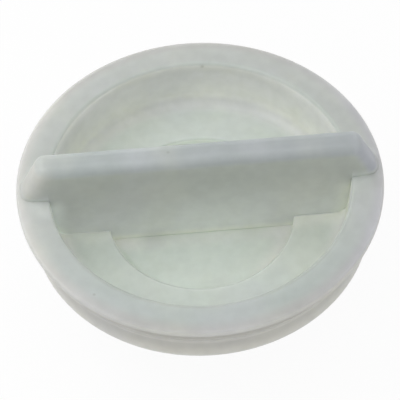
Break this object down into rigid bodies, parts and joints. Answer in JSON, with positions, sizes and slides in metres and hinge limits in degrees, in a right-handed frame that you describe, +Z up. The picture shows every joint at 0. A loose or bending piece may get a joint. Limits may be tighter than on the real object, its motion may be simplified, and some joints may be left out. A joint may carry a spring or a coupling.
{
  "type": "drain pump filter",
  "caption": "Round pump filter plug: a flanged dish crossed by a full-width grip bar, with a seal ring and collar under the flange and a slotted strainer beneath the floor.",
  "frame": {"origin": "centre of the strainer's lower end, on the face that the part rests on", "axes": "+Z up, out of the pump; X along the grip bar; Y across it"},
  "size_m": [0.07, 0.07, 0.0358],
  "materials": {
    "natural_plastic": "milky, waxy satin",
    "pale_rubber": "matt"
  },
  "bodies": {
    "root": {"filter_cap": "natural_plastic", "seal_ring": "pale_rubber"}
  },
  "joints": []
}
